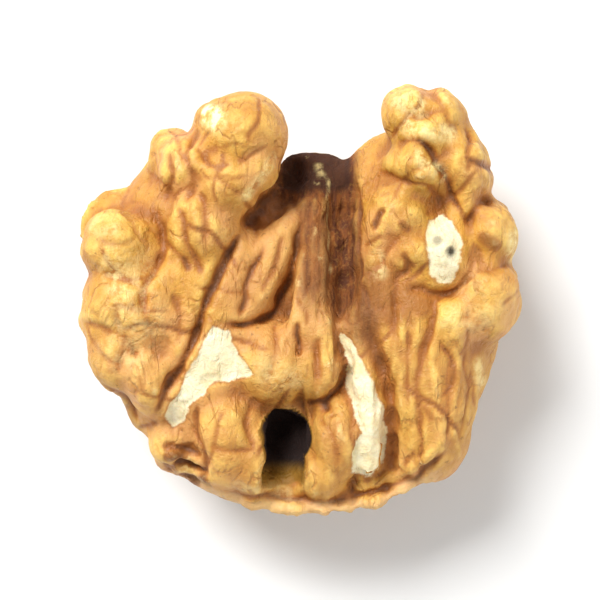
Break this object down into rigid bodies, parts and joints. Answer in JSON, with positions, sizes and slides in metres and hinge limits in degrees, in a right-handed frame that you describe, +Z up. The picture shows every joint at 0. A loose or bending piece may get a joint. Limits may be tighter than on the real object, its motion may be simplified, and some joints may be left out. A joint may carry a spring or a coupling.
{
  "type": "walnut kernel half",
  "caption": "Shelled walnut kernel half: two folded lobes joined by a ridged middle, lying on its rounded outer side; food, filler or set dressing.",
  "frame": {"origin": "middle of the underside of the kernel's box, on the surface it lies on", "axes": "+X across the two lobes, +Y towards the notch between them, +Z up, from the rounded outer side to the inner face"},
  "size_m": [0.031, 0.03, 0.0145],
  "materials": {
    "walnut_skin": "thin satin seed skin, golden tan with brown grooves, and pale cream flesh where the skin is rubbed off"
  },
  "bodies": {
    "root": {"kernel_half": "walnut_skin"}
  },
  "joints": []
}
